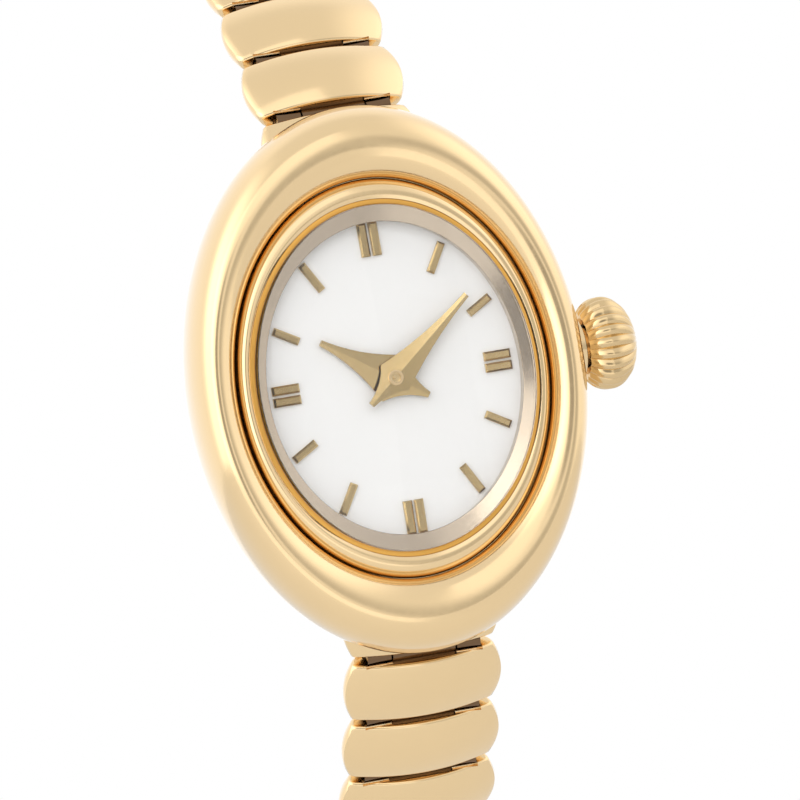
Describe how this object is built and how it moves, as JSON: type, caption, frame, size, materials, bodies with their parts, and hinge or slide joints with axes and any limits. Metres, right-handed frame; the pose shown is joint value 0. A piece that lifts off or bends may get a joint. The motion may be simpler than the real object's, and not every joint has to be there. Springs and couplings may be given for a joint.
{
  "type": "wristwatch",
  "caption": "Oval gold-toned dress wristwatch with a puffed case, plain white dial, baton markers, star hands, ribbed crown and domed-link bracelet.",
  "frame": {"origin": "centre of the case back's flat outer face, which rests on the wrist", "axes": "+X to 3 o'clock, +Z to 12 o'clock, the dial faces -Y"},
  "size_m": [0.0233, 0.0608, 0.074],
  "materials": {
    "gold_plated_metal": "polished light yellow gold plating",
    "mineral_glass": "polished clear",
    "white_dial": "satin white lacquer",
    "champagne_metal": "satin champagne plating",
    "gasket_rubber": "smooth amber gasket",
    "holder_plastic": "moulded ivory plastic",
    "circuit_green": "varnished board",
    "copper_winding": "enamelled copper wire",
    "steel": "fine brushed steel",
    "movement_brass": "rolled brass"
  },
  "bodies": {
    "case": {"battery": "steel", "battery_clamp": "steel", "bezel_ring": "gold_plated_metal", "case_back": "gold_plated_metal", "case_back_gasket": "gasket_rubber", "case_body": "gold_plated_metal", "circuit_board": "circuit_green", "coil": "copper_winding", "crown_tube": "steel", "crystal": "mineral_glass", "crystal_gasket": "gasket_rubber", "dial": "white_dial", "dial_flange": "champagne_metal", "end_pieces": "gold_plated_metal", "hour_markers": "gold_plated_metal", "main_plate": "steel", "movement_holder": "holder_plastic", "movement_screws": "steel", "spring_bars": "steel", "stator": "steel", "train_bridge": "steel"},
    "minute_works": {"centre_wheel": "movement_brass", "cannon_pinion": "movement_brass", "minute_hand": "gold_plated_metal"},
    "hour_works": {"hour_wheel": "movement_brass", "hour_hand": "gold_plated_metal"},
    "minute_wheel": {"minute_wheel": "movement_brass"},
    "third_wheel": {"third_wheel": "steel"},
    "rotor": {"rotor": "steel"},
    "crown_slider": {"crown_gasket": "gasket_rubber"},
    "crown": {"crown": "gold_plated_metal", "winding_stem": "steel"},
    "clasp_box": {"clasp_box": "gold_plated_metal"},
    "clasp_tongue": {"clasp_tongue": "gold_plated_metal"},
    "lower_link_01": {"lower_link_01": "gold_plated_metal"},
    "lower_link_02": {"lower_link_02": "gold_plated_metal"},
    "lower_link_03": {"lower_link_03": "gold_plated_metal"},
    "lower_link_04": {"lower_link_04": "gold_plated_metal"},
    "lower_link_05": {"lower_link_05": "gold_plated_metal"},
    "lower_link_06": {"lower_link_06": "gold_plated_metal"},
    "lower_link_07": {"lower_link_07": "gold_plated_metal"},
    "lower_link_08": {"lower_link_08": "gold_plated_metal"},
    "lower_link_09": {"lower_link_09": "gold_plated_metal"},
    "lower_link_10": {"lower_link_10": "gold_plated_metal"},
    "lower_link_11": {"lower_link_11": "gold_plated_metal"},
    "lower_link_12": {"lower_link_12": "gold_plated_metal"},
    "lower_link_13": {"lower_link_13": "gold_plated_metal"},
    "upper_link_01": {"upper_link_01": "gold_plated_metal"},
    "upper_link_02": {"upper_link_02": "gold_plated_metal"},
    "upper_link_03": {"upper_link_03": "gold_plated_metal"},
    "upper_link_04": {"upper_link_04": "gold_plated_metal"},
    "upper_link_05": {"upper_link_05": "gold_plated_metal"},
    "upper_link_06": {"upper_link_06": "gold_plated_metal"},
    "upper_link_07": {"upper_link_07": "gold_plated_metal"},
    "upper_link_08": {"upper_link_08": "gold_plated_metal"},
    "upper_link_09": {"upper_link_09": "gold_plated_metal"},
    "upper_link_10": {"upper_link_10": "gold_plated_metal"},
    "upper_link_11": {"upper_link_11": "gold_plated_metal"},
    "upper_link_12": {"upper_link_12": "gold_plated_metal"},
    "upper_link_13": {"upper_link_13": "gold_plated_metal"}
  },
  "joints": [
    {"name": "minute_hand_turn", "type": "hinge", "parent": "case", "child": "minute_works", "pos_m": [0, -0.004, 0], "axis": [0, 1, 0], "continuous": true},
    {"name": "hour_hand_turn", "type": "hinge", "parent": "case", "child": "hour_works", "pos_m": [0, -0.004, 0], "axis": [0, 1, 0], "continuous": true},
    {"name": "minute_wheel_turn", "type": "hinge", "parent": "case", "child": "minute_wheel", "pos_m": [-0.0017, -0.0035, 0.0017], "axis": [0, 1, 0], "continuous": true},
    {"name": "third_wheel_turn", "type": "hinge", "parent": "case", "child": "third_wheel", "pos_m": [0.00119, -0.002, 0.00206], "axis": [0, 1, 0], "continuous": true},
    {"name": "rotor_turn", "type": "hinge", "parent": "case", "child": "rotor", "pos_m": [0.00045, -0.002, 0.00409], "axis": [0, 1, 0], "continuous": true},
    {"name": "crown_pull", "type": "slide", "parent": "case", "child": "crown_slider", "axis": [1, 0, 0], "range_m": [0, 0.0009]},
    {"name": "crown_turn", "type": "hinge", "parent": "crown_slider", "child": "crown", "pos_m": [0.011, -0.0033, 0], "axis": [1, 0, 0], "continuous": true},
    {"name": "upper_strand_fold", "type": "hinge", "parent": "case", "child": "upper_link_01", "pos_m": [0, -0.00147, 0.01379], "axis": [-1, 0, 0], "range_deg": [-15.12, 11.88]},
    {"name": "upper_hinge_02", "type": "hinge", "parent": "upper_link_01", "child": "upper_link_02", "pos_m": [0, 0.00088, 0.0169], "axis": [-1, 0, 0], "range_deg": [-4.34, 3.41]},
    {"name": "upper_hinge_03", "type": "hinge", "parent": "upper_link_02", "child": "upper_link_03", "pos_m": [0, 0.00347, 0.01982], "axis": [-1, 0, 0], "range_deg": [-4.34, 3.41]},
    {"name": "upper_hinge_04", "type": "hinge", "parent": "upper_link_03", "child": "upper_link_04", "pos_m": [0, 0.00626, 0.02254], "axis": [-1, 0, 0], "range_deg": [-4.34, 3.41]},
    {"name": "upper_hinge_05", "type": "hinge", "parent": "upper_link_04", "child": "upper_link_05", "pos_m": [0, 0.00926, 0.02504], "axis": [-1, 0, 0], "range_deg": [-4.34, 3.41]},
    {"name": "upper_hinge_06", "type": "hinge", "parent": "upper_link_05", "child": "upper_link_06", "pos_m": [0, 0.01243, 0.0273], "axis": [-1, 0, 0], "range_deg": [-4.34, 3.41]},
    {"name": "upper_hinge_07", "type": "hinge", "parent": "upper_link_06", "child": "upper_link_07", "pos_m": [0, 0.01577, 0.02932], "axis": [-1, 0, 0], "range_deg": [-4.34, 3.41]},
    {"name": "upper_hinge_08", "type": "hinge", "parent": "upper_link_07", "child": "upper_link_08", "pos_m": [0, 0.01925, 0.03108], "axis": [-1, 0, 0], "range_deg": [-4.34, 3.41]},
    {"name": "upper_hinge_09", "type": "hinge", "parent": "upper_link_08", "child": "upper_link_09", "pos_m": [0, 0.02285, 0.03257], "axis": [-1, 0, 0], "range_deg": [-4.34, 3.41]},
    {"name": "upper_hinge_10", "type": "hinge", "parent": "upper_link_09", "child": "upper_link_10", "pos_m": [0, 0.02656, 0.03379], "axis": [-1, 0, 0], "range_deg": [-4.34, 3.41]},
    {"name": "upper_hinge_11", "type": "hinge", "parent": "upper_link_10", "child": "upper_link_11", "pos_m": [0, 0.03035, 0.03472], "axis": [-1, 0, 0], "range_deg": [-4.34, 3.41]},
    {"name": "upper_hinge_12", "type": "hinge", "parent": "upper_link_11", "child": "upper_link_12", "pos_m": [0, 0.03419, 0.03536], "axis": [-1, 0, 0], "range_deg": [-4.34, 3.41]},
    {"name": "upper_hinge_13", "type": "hinge", "parent": "upper_link_12", "child": "upper_link_13", "pos_m": [0, 0.03808, 0.0357], "axis": [-1, 0, 0], "range_deg": [-4.34, 3.41]},
    {"name": "upper_clasp_hinge", "type": "hinge", "parent": "upper_link_13", "child": "clasp_box", "pos_m": [0, 0.04198, 0.03575], "axis": [-1, 0, 0], "range_deg": [-21.24, 16.69]},
    {"name": "lower_strand_fold", "type": "hinge", "parent": "case", "child": "lower_link_01", "pos_m": [0, -0.00147, -0.01379], "axis": [1, 0, 0], "range_deg": [-15.12, 11.88]},
    {"name": "lower_hinge_02", "type": "hinge", "parent": "lower_link_01", "child": "lower_link_02", "pos_m": [0, 0.00088, -0.0169], "axis": [1, 0, 0], "range_deg": [-4.34, 3.41]},
    {"name": "lower_hinge_03", "type": "hinge", "parent": "lower_link_02", "child": "lower_link_03", "pos_m": [0, 0.00347, -0.01982], "axis": [1, 0, 0], "range_deg": [-4.34, 3.41]},
    {"name": "lower_hinge_04", "type": "hinge", "parent": "lower_link_03", "child": "lower_link_04", "pos_m": [0, 0.00626, -0.02254], "axis": [1, 0, 0], "range_deg": [-4.34, 3.41]},
    {"name": "lower_hinge_05", "type": "hinge", "parent": "lower_link_04", "child": "lower_link_05", "pos_m": [0, 0.00926, -0.02504], "axis": [1, 0, 0], "range_deg": [-4.34, 3.41]},
    {"name": "lower_hinge_06", "type": "hinge", "parent": "lower_link_05", "child": "lower_link_06", "pos_m": [0, 0.01243, -0.0273], "axis": [1, 0, 0], "range_deg": [-4.34, 3.41]},
    {"name": "lower_hinge_07", "type": "hinge", "parent": "lower_link_06", "child": "lower_link_07", "pos_m": [0, 0.01577, -0.02932], "axis": [1, 0, 0], "range_deg": [-4.34, 3.41]},
    {"name": "lower_hinge_08", "type": "hinge", "parent": "lower_link_07", "child": "lower_link_08", "pos_m": [0, 0.01925, -0.03108], "axis": [1, 0, 0], "range_deg": [-4.34, 3.41]},
    {"name": "lower_hinge_09", "type": "hinge", "parent": "lower_link_08", "child": "lower_link_09", "pos_m": [0, 0.02285, -0.03257], "axis": [1, 0, 0], "range_deg": [-4.34, 3.41]},
    {"name": "lower_hinge_10", "type": "hinge", "parent": "lower_link_09", "child": "lower_link_10", "pos_m": [0, 0.02656, -0.03379], "axis": [1, 0, 0], "range_deg": [-4.34, 3.41]},
    {"name": "lower_hinge_11", "type": "hinge", "parent": "lower_link_10", "child": "lower_link_11", "pos_m": [0, 0.03035, -0.03472], "axis": [1, 0, 0], "range_deg": [-4.34, 3.41]},
    {"name": "lower_hinge_12", "type": "hinge", "parent": "lower_link_11", "child": "lower_link_12", "pos_m": [0, 0.03419, -0.03536], "axis": [1, 0, 0], "range_deg": [-4.34, 3.41]},
    {"name": "lower_hinge_13", "type": "hinge", "parent": "lower_link_12", "child": "lower_link_13", "pos_m": [0, 0.03808, -0.0357], "axis": [1, 0, 0], "range_deg": [-4.34, 3.41]},
    {"name": "lower_clasp_hinge", "type": "hinge", "parent": "lower_link_13", "child": "clasp_tongue", "pos_m": [0, 0.04198, -0.03575], "axis": [1, 0, 0], "range_deg": [-21.24, 16.69]}
  ],
  "couplings": [
    {"joint": "hour_hand_turn", "follows": "minute_hand_turn", "ratio": 0.083333},
    {"joint": "minute_wheel_turn", "follows": "minute_hand_turn", "ratio": -0.33333},
    {"joint": "third_wheel_turn", "follows": "minute_hand_turn", "ratio": -6},
    {"joint": "rotor_turn", "follows": "minute_hand_turn", "ratio": 30},
    {"joint": "upper_hinge_02", "follows": "upper_strand_fold", "ratio": 0.28728},
    {"joint": "upper_hinge_03", "follows": "upper_strand_fold", "ratio": 0.28728},
    {"joint": "upper_hinge_04", "follows": "upper_strand_fold", "ratio": 0.28728},
    {"joint": "upper_hinge_05", "follows": "upper_strand_fold", "ratio": 0.28728},
    {"joint": "upper_hinge_06", "follows": "upper_strand_fold", "ratio": 0.28728},
    {"joint": "upper_hinge_07", "follows": "upper_strand_fold", "ratio": 0.28728},
    {"joint": "upper_hinge_08", "follows": "upper_strand_fold", "ratio": 0.28728},
    {"joint": "upper_hinge_09", "follows": "upper_strand_fold", "ratio": 0.28728},
    {"joint": "upper_hinge_10", "follows": "upper_strand_fold", "ratio": 0.28728},
    {"joint": "upper_hinge_11", "follows": "upper_strand_fold", "ratio": 0.28728},
    {"joint": "upper_hinge_12", "follows": "upper_strand_fold", "ratio": 0.28728},
    {"joint": "upper_hinge_13", "follows": "upper_strand_fold", "ratio": 0.28728},
    {"joint": "upper_clasp_hinge", "follows": "upper_strand_fold", "ratio": 1.4045},
    {"joint": "lower_hinge_02", "follows": "lower_strand_fold", "ratio": 0.28728},
    {"joint": "lower_hinge_03", "follows": "lower_strand_fold", "ratio": 0.28728},
    {"joint": "lower_hinge_04", "follows": "lower_strand_fold", "ratio": 0.28728},
    {"joint": "lower_hinge_05", "follows": "lower_strand_fold", "ratio": 0.28728},
    {"joint": "lower_hinge_06", "follows": "lower_strand_fold", "ratio": 0.28728},
    {"joint": "lower_hinge_07", "follows": "lower_strand_fold", "ratio": 0.28728},
    {"joint": "lower_hinge_08", "follows": "lower_strand_fold", "ratio": 0.28728},
    {"joint": "lower_hinge_09", "follows": "lower_strand_fold", "ratio": 0.28728},
    {"joint": "lower_hinge_10", "follows": "lower_strand_fold", "ratio": 0.28728},
    {"joint": "lower_hinge_11", "follows": "lower_strand_fold", "ratio": 0.28728},
    {"joint": "lower_hinge_12", "follows": "lower_strand_fold", "ratio": 0.28728},
    {"joint": "lower_hinge_13", "follows": "lower_strand_fold", "ratio": 0.28728},
    {"joint": "lower_clasp_hinge", "follows": "lower_strand_fold", "ratio": 1.4045}
  ]
}
